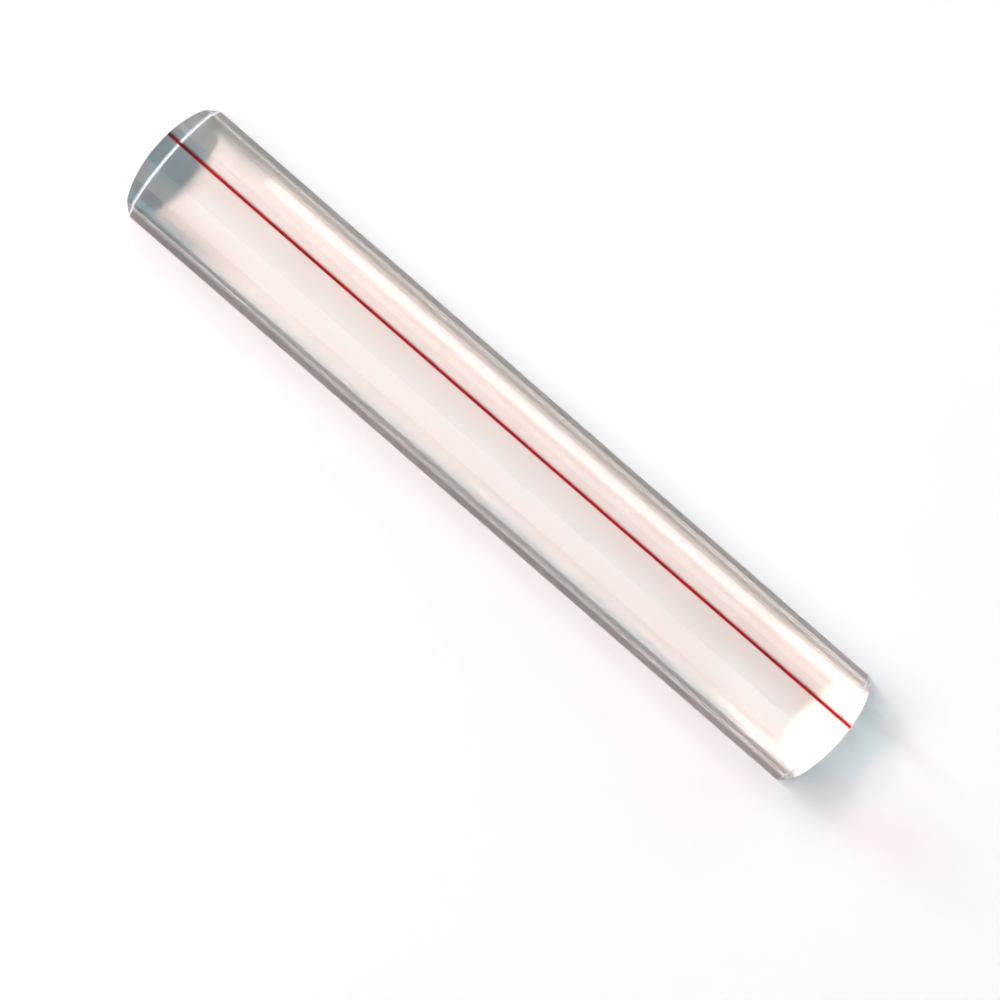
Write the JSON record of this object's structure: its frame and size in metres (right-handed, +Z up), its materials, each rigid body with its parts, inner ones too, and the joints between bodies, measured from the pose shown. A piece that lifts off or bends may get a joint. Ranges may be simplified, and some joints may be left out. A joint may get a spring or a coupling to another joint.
{
  "type": "bar magnifier",
  "caption": "Clear plano-convex bar that lies on a page and magnifies the line of text under it, with a red guide line along its flat underside.",
  "frame": {"origin": "middle of the flat underside", "axes": "+X along the bar, +Y across it towards the guide line, +Z up through the crown of the dome"},
  "size_m": [0.155, 0.025, 0.0095],
  "materials": {
    "clear_acrylic": "polished clear acrylic (PMMA, refractive index 1.49), water-white, sides and ends polished",
    "red_paint": "opaque red paint filling a shallow groove, flush with the underside"
  },
  "bodies": {
    "root": {"lens_bar": "clear_acrylic", "guide_line": "red_paint"}
  },
  "joints": []
}
